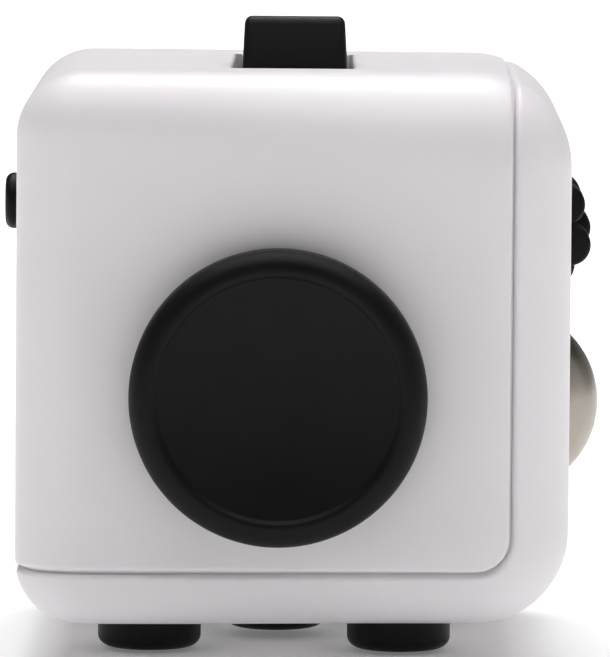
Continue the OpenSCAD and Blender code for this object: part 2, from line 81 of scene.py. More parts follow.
MM = 0.001
rear_low, rear_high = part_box("rear_shell")
HALF = (rear_high.x - rear_low.x) / 2 / MM
CENTRE = Vector(((rear_low.x + rear_high.x) / 2, rear_high.y - HALF * MM, rear_low.z + HALF * MM))
JOINTS = {joint["name"]: joint for joint in frame["joints"]}

LEFT_R = 3.9                    # radius of the edges round the left face
EDGE_R = 5.6                    # radius of the other edges
WALL = 1.8
SEAM = HALF - 3.55              # distance of the seam from the cube's middle
SEAM_R = 2.05
SEAM_GAP = 0.22


def local_box(node):
    """A CAD node's lowest and highest corner, in millimetres from the cube's middle."""
    low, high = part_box(node)
    return (low - CENTRE) / MM, (high - CENTRE) / MM


def local_middle(node):
    low, high = local_box(node)
    return (low + high) / 2


def joint_place(name):
    return (Vector(JOINTS[name]["pos_m"]) - CENTRE) / MM


# ---- Meshes ----

def finish_bmesh(bm, name, material, smooth_angle=38.0):
    """Turns a bmesh in local millimetres into an object in the frame's metres. Edges that turn
    by more than the angle, in degrees, stay sharp."""
    bmesh.ops.remove_doubles(bm, verts=bm.verts, dist=0.002)
    bmesh.ops.recalc_face_normals(bm, faces=bm.faces)
    limit = math.radians(smooth_angle)
    for face in bm.faces:
        face.smooth = True
    for edge in bm.edges:
        edge.smooth = edge.is_manifold and edge.calc_face_angle(0) < limit
    mesh = bpy.data.meshes.new(name)
    bm.to_mesh(mesh)
    bm.free()
    mesh.transform(Matrix.Translation(CENTRE) @ Matrix.Scale(MM, 4))
    piece = bpy.data.objects.new(name, mesh)
    bpy.context.scene.collection.objects.link(piece)
    piece.data.materials.append(material)
    return piece


def place(piece, body, slot, *nodes):
    """Rides the piece on its body and lets it stand for the named CAD nodes."""
    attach(piece, body)
    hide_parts(*nodes)
    return piece


def arc(centre, radius, start, end, steps):
    """Points along an arc in a section, as (distance from the axis, height). Angles in degrees."""
    return [
        (centre[0] + radius * math.cos(math.radians(start + (end - start) * i / steps)),
         centre[1] + radius * math.sin(math.radians(start + (end - start) * i / steps)))
        for i in range(steps + 1)
    ]


def lathe(bm, section, origin, axis, steps=128):
    """Spins a section of (distance, height) points about an axis through origin. A point on the
    axis closes the surface there."""
    turn = Vector((0, 0, 1)).rotation_difference(Vector(axis)).to_matrix()
    rings = []
    for radius, height in section:
        count = 1 if radius < 1e-6 else steps
        rings.append([
            bm.verts.new(turn @ Vector((
                radius * math.cos(2 * math.pi * k / steps),
                radius * math.sin(2 * math.pi * k / steps), height)) + Vector(origin))
            for k in range(count)
        ])
    for low, high in zip(rings, rings[1:]):
        for k in range(steps):
            corners = [low[k % len(low)], low[(k + 1) % len(low)],
                       high[(k + 1) % len(high)], high[k % len(high)]]
            unique = list(dict.fromkeys(corners))
            if len(unique) > 2:
                bm.faces.new(unique)
    if len(rings[0]) > 1 and len(rings[-1]) > 1:
        for k in range(steps):
            bm.faces.new([rings[-1][k], rings[-1][(k + 1) % steps],
                          rings[0][(k + 1) % steps], rings[0][k]])


# ---- The case's skin ----

SIDE_STEPS = 46                 # grid cells across a flat face
ARC_STEPS = 14                  # grid cells round an edge


def edge_radius(x):
    """Radius of the front-top, front-bottom and back edges, which narrows towards the left."""
    start, end = -HALF + LEFT_R, HALF - EDGE_R
    t = min(max((x - start) / (end - start), 0.0), 1.0)
    return LEFT_R + (EDGE_R - LEFT_R) * t * t * (3 - 2 * t)


def skin_stations():
    """Loops round the X axis: (x, half of the loop's inner square, corner radius, lean in X)."""
    quarter = [math.pi / 2 * i / ARC_STEPS for i in range(ARC_STEPS + 1)]
    left = [(-HALF + LEFT_R * (1 - math.sin(a)), HALF - LEFT_R, LEFT_R * math.cos(a), -math.sin(a))
            for a in reversed(quarter)]
    low, high = -HALF + LEFT_R, HALF - EDGE_R
    middle = []
    for i in range(1, SIDE_STEPS):
        x = low + (high - low) * i / SIDE_STEPS
        middle.append((x, HALF - edge_radius(x), edge_radius(x), 0.0))
    right = [(HALF - EDGE_R * (1 - math.sin(a)), HALF - EDGE_R, EDGE_R * math.cos(a), math.sin(a))
             for a in quarter]
    return left + middle + right


def skin_loop(x, inner, radius, lean):
    """One loop of the skin: points and their outward normals."""
    points = []
    for side in range(4):
        turn = math.pi / 2 * side
        along = Vector((0, -math.sin(turn), math.cos(turn)))
        out = Vector((0, math.cos(turn), math.sin(turn)))
        flat = math.sqrt(max(1 - lean * lean, 0.0))
        for i in range(SIDE_STEPS):
            at = inner * (2 * i / SIDE_STEPS - 1)
            points.append((Vector((x, 0, 0)) + out * (inner + radius) + along * at,
                           out * flat + Vector((lean, 0, 0))))
        for i in range(ARC_STEPS):
            a = math.pi / 2 * i / ARC_STEPS
            way = out * math.cos(a) + along * math.sin(a)
            points.append((Vector((x, 0, 0)) + (out + along) * inner + way * radius,
                           way * flat + Vector((lean, 0, 0))))
    return points


def cube_skin():
    """The whole rounded cube as one closed sheet. Each vertex carries its outward normal."""
    bm = bmesh.new()
    out = bm.verts.layers.float_vector.new("out")
    bm.verts.layers.float_vector.new("spot")
    loops = []
    for station in skin_stations():
        ring = []
        for point, normal in skin_loop(*station):
            vertex = bm.verts.new(point)
            vertex[out] = normal
            ring.append(vertex)
        loops.append(ring)
    count = len(loops[0])
    for low, high in zip(loops, loops[1:]):
        for k in range(count):
            bm.faces.new([low[k], low[(k + 1) % count], high[(k + 1) % count], high[k]])
    for x, inner in ((-HALF, HALF - LEFT_R), (HALF, HALF - EDGE_R)):
        grid = []
        for i in range(SIDE_STEPS + 1):
            row = []
            for j in range(SIDE_STEPS + 1):
                y = inner * (2 * i / SIDE_STEPS - 1)
                z = inner * (2 * j / SIDE_STEPS - 1)
                vertex = bm.verts.new((x, y, z))
                vertex[out] = (math.copysign(1, x), 0, 0)
                row.append(vertex)
            grid.append(row)
        for i in range(SIDE_STEPS):
            for j in range(SIDE_STEPS):
                bm.faces.new([grid[i][j], grid[i + 1][j], grid[i + 1][j + 1], grid[i][j + 1]])
    bmesh.ops.remove_doubles(bm, verts=bm.verts, dist=1e-4)
    bmesh.ops.recalc_face_normals(bm, faces=bm.faces)
    return bm


def positions(bm):
    return np.array([v.co for v in bm.verts], float).reshape(-1, 3)


def cut_at(bm, field, levels):
    """Adds a line of vertices where the field has each of the levels."""
    spot = bm.verts.layers.float_vector["spot"]
    for level in levels:
        values = field(positions(bm))
        bm.verts.ensure_lookup_table()
        near = set()
        for edge in bm.edges:
            a, b = edge.verts
            if (values[a.index] - level) * (values[b.index] - level) < 0:
                near.update(edge.link_faces)
        if not near:
            continue
        faces = list(near)
        edges = list({e for f in faces for e in f.edges})
        verts = list({v for f in faces for v in f.verts})
        for vertex in verts:
            vertex[spot] = vertex.co
            vertex.co.x = values[vertex.index]
        cut = bmesh.ops.bisect_plane(bm, geom=verts + edges + faces, dist=1e-6,
                                     plane_co=(level, 0, 0), plane_no=(1, 0, 0))
        changed = set(verts)
        changed.update(g for g in cut["geom"] if isinstance(g, bmesh.types.BMVert))
        for vertex in changed:
            vertex.co = vertex[spot]
        bm.verts.index_update()


def drop_below(bm, field, level):
    """Deletes the faces whose middle has the field below the level."""
    middles = np.array([f.calc_center_median() for f in bm.faces], float).reshape(-1, 3)
    values = field(middles)
    gone = [f for f, value in zip(bm.faces, values) if value < level]
    bmesh.ops.delete(bm, geom=gone, context="FACES")
    bm.verts.index_update()


# Positions of the lines round a rounded edge, as shares of its radius, and one just past it.
ROUND_LINES = [0.0] + [1 - math.cos(math.radians(a)) for a in (22.5, 45, 67.5)] + [1.0, 1.3]


def round_edge(bm, field, level, radius):
    """Lowers the skin towards the line where the field has the level, to round that edge."""
    out = bm.verts.layers.float_vector["out"]
    for vertex, value in zip(bm.verts, field(positions(bm)) - level):
        if value < radius:
            away = radius - max(value, 0.0)
            vertex.co -= vertex[out] * (radius - math.sqrt(max(radius * radius - away * away, 0.0)))


def open_edge(bm, field, level, radius, shifts):
    """Cuts the skin where the field has the level, drops what is below it, and notes the
    rounding, which is done once every cut is made."""
    cut_at(bm, field, [level + radius * line for line in ROUND_LINES])
    drop_below(bm, field, level)
    shifts.append((field, level, radius))


def thicken(bm, top, bottom, clear=None):
    """Makes a closed wall of the open skin: from depth top to depth bottom under it. What clear
    gives is where a point of the inside goes to."""
    out = bm.verts.layers.float_vector["out"]
    spot = bm.verts.layers.float_vector["spot"]
    rims = [e for e in bm.edges if e.is_boundary]
    faces = list(bm.faces)
    under = {}
    for vertex in list(bm.verts):
        deep = bm.verts.new(Vector(vertex[spot]) - Vector(vertex[out]) * bottom)
        if clear:
            deep.co = clear(deep.co)
        deep[out] = vertex[out]
        under[vertex] = deep
        vertex.co -= vertex[out] * top
    for edge in rims:
        a, b = edge.verts
        bm.faces.new([a, b, under[b], under[a]])
    for face in faces:
        bm.faces.new([under[v] for v in reversed(face.verts)])


def remember_spots(bm):
    """Notes where each vertex is before its edge is rounded: the inside is measured from there."""
    spot = bm.verts.layers.float_vector["spot"]
    for vertex in bm.verts:
        vertex[spot] = vertex.co


# ---- Fields: signed distances in millimetres, positive outside the named opening ----

def block_field(points):
    """Distance outside the corner block that the front shell fills."""
    q = points * np.array([1, 1, -1.0]) - SEAM + SEAM_R
    return np.linalg.norm(np.maximum(q, 0), axis=1) + np.minimum(q.max(axis=1), 0) - SEAM_R


def front_field(points):
    return -block_field(points)


def prism_field(outline, axis, side):
    """An opening with the named outline, through the wall on one side of the cube only."""
    def field(points):
        flat = outline(np.delete(points, axis, axis=1))
        return np.maximum(flat, (HALF - 3.0) - side * points[:, axis])
    return field


def circle_outline(centre, radius):
    return lambda flat: np.linalg.norm(flat - np.array(centre), axis=1) - radius


def box_outline(low, high, radius):
    """A rectangle with rounded corners."""
    middle = (np.array(low) + np.array(high)) / 2
    half = (np.array(high) - np.array(low)) / 2 - radius

    def outline(flat):
        q = np.abs(flat - middle) - half
        return np.linalg.norm(np.maximum(q, 0), axis=1) + np.minimum(q.max(axis=1), 0) - radius
    return outline


# ---- Materials ----

class Nodes:
    """A short way to write a material's node tree."""

    def __init__(self, name):
        self.material = bpy.data.materials.new(name)
        self.material.use_nodes = True
        self.tree = self.material.node_tree
        self.shader = self.tree.nodes["Principled BSDF"]
        self.place = self.add("ShaderNodeTexCoord").outputs["Object"]

    def add(self, kind, **settings):
        node = self.tree.nodes.new(kind)
        for key, value in settings.items():
            setattr(node, key, value)
        return node

    def link(self, output, target):
        self.tree.links.new(output, target)

    def set(self, **values):
        for key, value in values.items():
            self.shader.inputs[key.replace("_", " ")].default_value = value

    def noise(self, scale, detail=3.0, roughness=0.5, stretch=None):
        node = self.add("ShaderNodeTexNoise")
        node.inputs["Scale"].default_value = scale
        node.inputs["Detail"].default_value = detail
        node.inputs["Roughness"].default_value = roughness
        source = self.place
        if stretch:
            mapping = self.add("ShaderNodeMapping")
            mapping.inputs["Scale"].default_value = stretch
            self.link(self.place, mapping.inputs["Vector"])
            source = mapping.outputs["Vector"]
        self.link(source, node.inputs["Vector"])
        return node.outputs["Fac"]

    def ramp(self, value, stops, target):
        """stops: (position, colour or grey) pairs."""
        node = self.add("ShaderNodeValToRGB")
        elements = node.color_ramp.elements
        while len(elements) < len(stops):
            elements.new(0.5)
        for element, (position, colour) in zip(elements, stops):
            element.position = position
            rgb = colour if isinstance(colour, tuple) else (colour, colour, colour)
            element.color = (*rgb, 1)
        self.link(value, node.inputs["Fac"])
        self.link(node.outputs["Color"], self.shader.inputs[target])

    def bump(self, heights, distance, strength=1.0):
        """Chains bumps: heights are (value, share of the distance) pairs."""
        last = None
        for value, share in heights:
            node = self.add("ShaderNodeBump")
            node.inputs["Distance"].default_value = distance * share
            node.inputs["Strength"].default_value = strength
            self.link(value, node.inputs["Height"])
            if last:
                self.link(last, node.inputs["Normal"])
            last = node.outputs["Normal"]
        self.link(last, self.shader.inputs["Normal"])


def white_plastic():
    """Satin moulded ABS: a fine spark-eroded grain, faint flow clouds and uneven gloss."""
    m = Nodes("case_plastic")
    colours = [(0.25, (0.835, 0.80, 0.826)), (0.75, (0.87, 0.838, 0.862))]
    m.ramp(m.noise(90, 4), colours, "Base Color")
    m.ramp(m.noise(700, 5, 0.6), [(0.3, 0.34), (0.7, 0.44)], "Roughness")
    m.bump([(m.noise(9000, 2), 1.0), (m.noise(350, 2), 2.0)], 0.000002, 0.5)
    m.set(IOR=1.5, Subsurface_Weight=0.08, Subsurface_Radius=(1.0, 0.9, 0.8),
          Subsurface_Scale=0.0012)
    return m.material


def black_plastic():
    """Satin black, with the soft grain of a rubbery coat and a little dust in its gloss."""
    m = Nodes("black_plastic")
    colours = [(0.3, (0.0035, 0.0035, 0.0035)), (0.7, (0.0055, 0.0055, 0.0054))]
    m.ramp(m.noise(260, 4), colours, "Base Color")
    m.ramp(m.noise(1500, 6, 0.65), [(0.3, 0.40), (0.7, 0.52)], "Roughness")
    m.bump([(m.noise(7000, 3), 1.0), (m.noise(500, 2), 1.5)], 0.000003, 0.6)
    m.set(Specular_IOR_Level=0.15)
    return m.material


def inner_plastic():
    """Dark grey moulded nylon."""
    m = Nodes("inner_plastic")
    m.ramp(m.noise(300, 4), [(0.3, (0.09, 0.09, 0.095)), (0.7, (0.13, 0.13, 0.135))], "Base Color")
    m.ramp(m.noise(900, 4), [(0.3, 0.45), (0.7, 0.6)], "Roughness")
    m.bump([(m.noise(5000, 3), 1.0)], 0.000004, 0.5)
    return m.material


def slippery_plastic():
    """Smooth ivory acetal."""
    m = Nodes("slippery_plastic")
    m.ramp(m.noise(250, 3), [(0.3, (0.70, 0.67, 0.59)), (0.7, (0.76, 0.73, 0.66))], "Base Color")
    m.ramp(m.noise(900, 4), [(0.3, 0.28), (0.7, 0.38)], "Roughness")
    return m.material


def plated_steel():
    """Zinc-plated small parts, with fine turning marks."""
    m = Nodes("steel")
    m.ramp(m.noise(700, 4), [(0.3, (0.48, 0.48, 0.49)), (0.7, (0.60, 0.60, 0.61))], "Base Color")
    m.ramp(m.noise(2500, 5), [(0.3, 0.26), (0.7, 0.42)], "Roughness")
    m.bump([(m.noise(6000, 3), 1.0)], 0.000002, 0.4)
    m.set(Metallic=1.0)
    return m.material


def ball_metal():
    """Satin steel ball: tumbled, with faint hairlines."""
    m = Nodes("ball_metal")
    m.ramp(m.noise(220, 4), [(0.3, (0.34, 0.305, 0.265)), (0.7, (0.40, 0.36, 0.315))], "Base Color")
    m.ramp(m.noise(1800, 6, 0.7, (1, 0.2, 1)), [(0.3, 0.27), (0.7, 0.4)], "Roughness")
    m.bump([(m.noise(5000, 3, 0.6, (1, 0.08, 1)), 1.0)], 0.000002, 0.5)
    m.set(Metallic=1.0)
    return m.material


MATERIALS = {
    "case_plastic": white_plastic(),
    "black_plastic": black_plastic(),
    "inner_plastic": inner_plastic(),
    "slippery_plastic": slippery_plastic(),
    "ball_metal": ball_metal(),
    "steel": plated_steel(),
}


def dress_cad_nodes():
    """Every CAD node that stays on show gets the material of its slot."""
    slots = {part["node"]: part["material_slot"] for part in frame["record"]["subparts"]}
    for name, node in frame["nodes"].items():
        node.data.materials.clear()
        node.data.materials.append(MATERIALS[slots[name]])


# ---- Shells ----

DIMPLE_R = 10.5
DIMPLE_DEPTH = 1.9
SEAM_ROUND = 0.28               # how far the shells' edges at the seam are rounded
STEM_HOLE_R = 5.15              # the joystick's
SLOT_HALF = (3.6, 8.75)         # the switch's, across and along
WINDOW_HALF = 5.75              # the gears', along
WINDOW_PLAY = 0.15              # the gears', above and below
BALL_HOLE_R = 4.5
BUTTON_HOLE_R = 3.15
SLOT_X = local_middle("switch_cradle").x
GEAR_PLACE = joint_place("gear_middle_spin")
BALL_PLACE = joint_place("ball_roll")
GEAR_R = 4.45
BALL_R = local_box("roller_ball")[1].x - BALL_PLACE.x


def press_dimple(bm):
    """The thumb hollow in the back: a shallow bowl whose rim rolls softly into the flat."""
    roll = 0.2                      # depth over which the rim rolls
    for vertex in bm.verts:
        if vertex.co.y > HALF - 1e-3:
            r = math.hypot(vertex.co.x, vertex.co.z) / DIMPLE_R
            depth = DIMPLE_DEPTH * (1 - r * r)
            share = min(max(0.5 + 0.5 * depth / roll, 0), 1)
            vertex.co.y -= depth * share + roll * share * (1 - share)


def button_nodes():
    return sorted(n for n in frame["nodes"] if n.startswith("button_") and n in frame["bodies"])


def clear_of_ball(point):
    """Widens the inside of the ball's hole, so that the wall stays clear of the ball."""
    if point.x < BALL_PLACE.x:
        return point
    flat = Vector((0, point.y, point.z - BALL_PLACE.z))
    distance = flat.length
    room = math.sqrt(max((BALL_R + 0.12) ** 2 - (point.x - BALL_PLACE.x) ** 2, 0))
    start, end = 4.4, 9.0
    if distance > end:
        return point
    moved = room + max(distance - start, 0) * (end - room) / (end - start)
    return point + flat * (max(moved, distance) / distance - 1)


def shell(seam_field, seam_level, openings, clear=None):
    """One shell: the skin inside its seam, less its openings, with every edge rounded."""
    bm = cube_skin()
    shifts = []
    open_edge(bm, seam_field, seam_level, SEAM_ROUND, shifts)
    for field, radius in openings:
        open_edge(bm, field, 0.0, radius, shifts)
    press_dimple(bm)
    remember_spots(bm)
    for field, level, radius in shifts:
        round_edge(bm, field, level, radius)
    thicken(bm, 0.0, WALL, clear)
    return bm


def seam_strip(start, end, top, bottom):
    """A strip that follows the seam, between two distances from it and two depths."""
    bm = cube_skin()
    cut_at(bm, block_field, [start, end])
    drop_below(bm, block_field, start)
    drop_below(bm, front_field, -end)
    remember_spots(bm)
    thicken(bm, top, bottom)
    return bm


def join(bm, other):
    """Adds the second bmesh to the first as a separate closed island."""
    mesh = bpy.data.meshes.new("joined")
    other.to_mesh(mesh)
    other.free()
    bm.from_mesh(mesh)
    bpy.data.meshes.remove(mesh)


def make_shells():
    glide_z = local_middle("joystick_slider").z
    slot_low = (SLOT_X - SLOT_HALF[0], -SLOT_HALF[1])
    slot_high = (SLOT_X + SLOT_HALF[0], SLOT_HALF[1])
    front_openings = [
        (prism_field(circle_outline((0, glide_z), STEM_HOLE_R), 1, -1), 0.2),
        (prism_field(box_outline(slot_low, slot_high, 0.45), 2, 1), 0.28),
        (prism_field(circle_outline((0, 0), local_box("dial")[1].z - 0.78), 0, -1), 0.25),
    ]
    front = shell(front_field, 0.0, front_openings)
    join(front, seam_strip(-1.0, 1.5, WALL + 0.1, WALL + 0.95))
    join(front, seam_strip(0.03, SEAM_GAP - 0.03, 0.45, WALL + 0.2))
    piece = finish_bmesh(front, "front_shell_skin", MATERIALS["case_plastic"])
    place(piece, "case", "case_plastic", "front_shell")

    window_low = (-WINDOW_HALF, GEAR_PLACE.z - GEAR_R - WINDOW_PLAY)
    window_high = (WINDOW_HALF, GEAR_PLACE.z + GEAR_R + WINDOW_PLAY)
    rear_openings = [
        (prism_field(box_outline(window_low, window_high, 0.5), 0, 1), 0.3),
        (prism_field(circle_outline((0, BALL_PLACE.z), BALL_HOLE_R), 0, 1), 0.3),
    ]
    for node in button_nodes():
        middle = local_middle(node)
        hole = circle_outline((middle.x, middle.y), BUTTON_HOLE_R)
        rear_openings.append((prism_field(hole, 2, -1), 0.2))
    rear = shell(block_field, SEAM_GAP, rear_openings, clear_of_ball)
    piece = finish_bmesh(rear, "rear_shell_skin", MATERIALS["case_plastic"])
    place(piece, "case", "case_plastic", "rear_shell")


# ---- Joystick ----

def make_joystick():
    """A flat-topped cap with a full round rim, a shallow dish inside it and a stem behind."""
    low, high = local_box("joystick_cap")
    radius = (high.x - low.x) / 2
    middle = (low + high) / 2
    thick = 2.85
    stem_r, stem_l = 2.2, 3.4
    rim = 1.2
    lip, foot = 0.5, 0.35                         # radii of the step round the dish
    steep = math.radians(50)
    gentle = math.radians(12.5)
    crest = radius - rim
    step = lip * (1 - math.cos(steep)) + foot * (math.cos(gentle) - math.cos(steep))
    dish_r = crest - lip * math.sin(steep) - foot * (math.sin(steep) - math.sin(gentle))
    bowl = dish_r / math.sin(gentle)
    bottom = thick - step - bowl * (1 - math.cos(gentle))
    section = [(bowl * math.sin(a), bottom + bowl * (1 - math.cos(a)))
               for a in [gentle * i / 14 for i in range(15)]]
    section += [(dish_r + foot * (math.sin(a) - math.sin(gentle)),
                 thick - step + foot * (math.cos(gentle) - math.cos(a)))
                for a in [gentle + (steep - gentle) * i / 6 for i in range(1, 7)]]
    section += [(crest - lip * math.sin(a), thick - lip * (1 - math.cos(a)))
                for a in [steep * (1 - i / 6) for i in range(1, 7)]]
    section += arc((crest, thick - rim), rim, 86, 0, 14)
    section += arc((radius - 0.7, 0.7), 0.7, 0, -90, 7)
    section += [(stem_r + 0.55, 0.0), (stem_r + 0.1, -0.12), (stem_r, -0.35)]
    section += [(stem_r, -stem_l), (0.0, -stem_l)]
    bm = bmesh.new()
    lathe(bm, section, (middle.x, low.y + thick, middle.z), (0, -1, 0), 160)
    piece = finish_bmesh(bm, "joystick_cap_moulding", MATERIALS["black_plastic"])
    place(piece, "joystick", "black_plastic", "joystick_cap")


# ---- Buttons ----

def make_buttons():
    """Five caps with a round shoulder and a slightly crowned face."""
    for node in button_nodes():
        low, high = local_box(node)
        middle = (low + high) / 2
        radius, shoulder, crown = 3.1, 0.9, 0.16
        flange_r, stem_r = 3.8, 0.9
        height = high.z - low.z
        section = [(0, 0)]
        section += [(r, crown * (r / (radius - shoulder)) ** 2)
                    for r in [(radius - shoulder) * i / 6 for i in range(1, 6)]]
        section += [(radius - shoulder + shoulder * math.sin(a),
                     crown + (shoulder - crown) * (1 - math.cos(a)))
                    for a in [math.pi / 2 * (0.1 + 0.9 * i / 9) for i in range(10)]]
        flange = height - 1.7
        section += [(radius, flange), (flange_r, flange + 0.05), (flange_r, flange + 0.7)]
        section += [(stem_r + 0.1, flange + 0.7), (stem_r, flange + 0.8)]
        section += [(stem_r, height - 0.1), (stem_r - 0.1, height), (0, height)]
        bm = bmesh.new()
        lathe(bm, section, (middle.x, middle.y, low.z), (0, 0, 1), 96)
        piece = finish_bmesh(bm, node + "_cap", MATERIALS["black_plastic"])
        place(piece, node, "black_plastic", node)


# ---- Dial ----

def make_dial():
    """A disc that sits level with the side, with a flange and hub behind it and a round nub."""
    low, high = local_box("dial")
    face_x = -HALF + 0.15
    disc_r = high.z - 0.9
    depth = high.x - face_x
    flange_r, hub_r = 11.3, 2.5
    section = [(0, -0.32), (3, -0.27), (6, -0.14), (disc_r - 1.2, -0.03), (disc_r - 0.9, 0.0)]
    section += arc((disc_r - 0.3, -0.3), 0.3, 90, 0, 6)
    section += [(disc_r, -1.65), (flange_r, -1.68), (flange_r, -2.65)]
    section += [(hub_r + 0.1, -2.65), (hub_r, -2.75)]
    section += [(hub_r, -depth + 0.2), (hub_r - 0.2, -depth), (0, -depth)]
    bm = bmesh.new()
    lathe(bm, section, (face_x, 0, 0), (-1, 0, 0), 192)
    nub_r, nub_at = 1.7, 7.85
    proud = face_x - low.x
    nub = [(0, proud), (nub_r - 0.9, proud - 0.02)]
    nub += arc((nub_r - 0.5, proud - 0.5), 0.5, 80, 0, 9)
    nub += [(nub_r, 0.25), (nub_r + 0.1, 0.08), (nub_r + 0.3, -0.04)]
    nub += [(nub_r + 0.2, -0.4), (0, -0.4)]
    lathe(bm, nub, (face_x, 0, nub_at), (-1, 0, 0), 96)
    piece = finish_bmesh(bm, "dial_moulding", MATERIALS["black_plastic"])
    place(piece, "dial", "black_plastic", "dial")


# ---- Gears ----

TEETH = 8
TOOTH_R = 1.25
GEAR_PHASE = {"gear_front": 14, "gear_middle": 0, "gear_rear": 14}


def gear_outline(phase, shrink):
    """Points round the wheel. Each tooth is a round lobe, and the valleys have a small radius."""
    root = GEAR_R - TOOTH_R
    steps = 22
    points = []
    for k in range(TEETH * steps):
        off = 2 * math.pi / TEETH * ((k % steps) / steps - 0.5)
        across = root * math.sin(off)
        lobe = root * math.cos(off) + math.sqrt(max(TOOTH_R ** 2 - across ** 2, 0.0))
        r = max(lobe, root + 0.12) - shrink
        angle = 2 * math.pi / TEETH * (k // steps) + off + math.radians(phase)
        points.append((r * math.cos(angle), r * math.sin(angle)))
    return points


def make_gears():
    """Wheels with rounded teeth, softened side edges and a raised hub ring round the bore."""
    for node, phase in GEAR_PHASE.items():
        low, high = local_box(node)
        middle = (low + high) / 2
        width = high.y - low.y
        rings = []
        soft = 0.3
        side = [(soft * (1 - math.cos(a)), soft * (1 - math.sin(a)))
                for a in [math.pi / 2 * i / 4 for i in range(5)]]
        levels = [(shrink, -width / 2 + up) for shrink, up in reversed(side)]
        levels += [(shrink, width / 2 - up) for shrink, up in side]
        bm = bmesh.new()
        for shrink, y in levels:
            rings.append([
                bm.verts.new((GEAR_PLACE.x + a, middle.y + y, GEAR_PLACE.z - b))
                for a, b in gear_outline(phase, shrink)])
        count = len(rings[0])
        hub = [(2.3, 0.0), (2.2, 0.0), (1.15, 0.0), (1.05, 0.08)]
        inner = []
        for end in (-1, 1):
            inner.append([[
                bm.verts.new((GEAR_PLACE.x + r * math.cos(t), middle.y + end * (width / 2 - drop),
                              GEAR_PLACE.z - r * math.sin(t)))
                for t in [math.atan2(b, a) for a, b in gear_outline(phase, 0)]] for r, drop in hub])
        chain = list(reversed(inner[0])) + rings + inner[1]
        for first, second in zip(chain, chain[1:] + chain[:1]):
            for k in range(count):
                bm.faces.new([first[k], first[(k + 1) % count], second[(k + 1) % count], second[k]])
        piece = finish_bmesh(bm, node + "_wheel", MATERIALS["black_plastic"])
        place(piece, node, "black_plastic", node)


# ---- Ball ----

def make_ball():
    """A sphere from a cube's grid, so that no pole shows whichever way it rolls."""
    bm = bmesh.new()
    bmesh.ops.create_cube(bm, size=2)
    bmesh.ops.subdivide_edges(bm, edges=bm.edges, cuts=30, use_grid_fill=True)
    for vertex in bm.verts:
        warped = Vector([math.tan(c * math.pi / 4) for c in vertex.co])
        vertex.co = BALL_PLACE + warped.normalized() * BALL_R
    piece = finish_bmesh(bm, "roller_ball_steel", MATERIALS["ball_metal"])
    place(piece, "ball", "ball_metal", "roller_ball")


# ---- Springs ----

def make_spring(node, way, wire, turns):
    """A return spring of round wire. It stands on its fixed end, which is at the far end of way."""
    low, high = local_box(node)
    axis = Vector(way)
    along = [abs(c) for c in way].index(1)
    length = high[along] - low[along]
    radius = (high.y - low.y) / 2 - wire
    fixed = (low + high) / 2 + axis * (length / 2)
    play = 0.02                     # left at each end of the spring
    turn = Vector((0, 0, 1)).rotation_difference(-axis).to_matrix()
    steps, sides = 24 * turns, 8
    bm = bmesh.new()
    rings = []
    for i in range(steps + 1):
        around = 2 * math.pi * turns * i / steps
        up = wire + play + (length - 2 * wire - 2 * play) * i / steps
        ring = []
        for k in range(sides):
            a = 2 * math.pi * k / sides
            out = radius + wire * math.cos(a)
            ring.append(bm.verts.new(turn @ Vector((
                out * math.cos(around), out * math.sin(around), up + wire * math.sin(a))) + fixed))
        rings.append(ring)
    for first, second in zip(rings, rings[1:]):
        for k in range(sides):
            bm.faces.new([first[k], first[(k + 1) % sides], second[(k + 1) % sides], second[k]])
    bm.faces.new(list(reversed(rings[0])))
    bm.faces.new(rings[-1])
    piece = finish_bmesh(bm, node + "_coil", MATERIALS["steel"], 60.0)
    place(piece, "case", "steel", node)
    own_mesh(piece)


def make_springs():
    for node in sorted(n for n in frame["nodes"] if n.startswith("spring_")):
        make_spring(node, (0, 0, 1), 0.14, 4)
    make_spring("ball_spring", (-1, 0, 0), 0.16, 3)


# ---- Switch ----

SWING = math.radians(JOINTS["switch_rock"]["range_deg"][1])


def rounded_corner(before, corner, after, radius, steps):
    """An arc of that radius in place of a corner of an outline."""
    a, b = (before - corner).normalized(), (after - corner).normalized()
    angle = a.angle(b)
    back = radius / math.tan(angle / 2)
    centre = corner + (a + b).normalized() * (radius / math.sin(angle / 2))
    start, end = corner + a * back - centre, corner + b * back - centre
    sweep = start.angle_signed(end)
    return [centre + Matrix.Rotation(-sweep * i / steps, 2) @ start for i in range(steps + 1)]


def rocker_outline(shrink):
    """The rocker's side view, drawn smaller by shrink: its rear half level and its front raised."""
    top, reach, skirt = 3.4, 8.45, 2.5            # from the pivot: up, along and down
    middle = math.tan(SWING / 2)

    def raised(y, z):
        return Vector((-y * math.cos(SWING) + z * math.sin(SWING),
                       y * math.sin(SWING) + z * math.cos(SWING)))
    t, r, s = top - shrink, reach - shrink, skirt - shrink
    corners = [
        (Vector((t * middle, t)), 2.5), (Vector((r, t)), 0.55), (Vector((r, -s)), 0.3),
        (Vector((-s * middle, -s)), 0.3), (raised(r, -s), 0.3), (raised(r, t), 0.7),
    ]
    points = []
    for k, (corner, radius) in enumerate(corners):
        before, after = corners[k - 1][0], corners[(k + 1) % len(corners)][0]
        points += rounded_corner(before, corner, after, max(radius - shrink * 0.5, 0.1), 7)
    return points


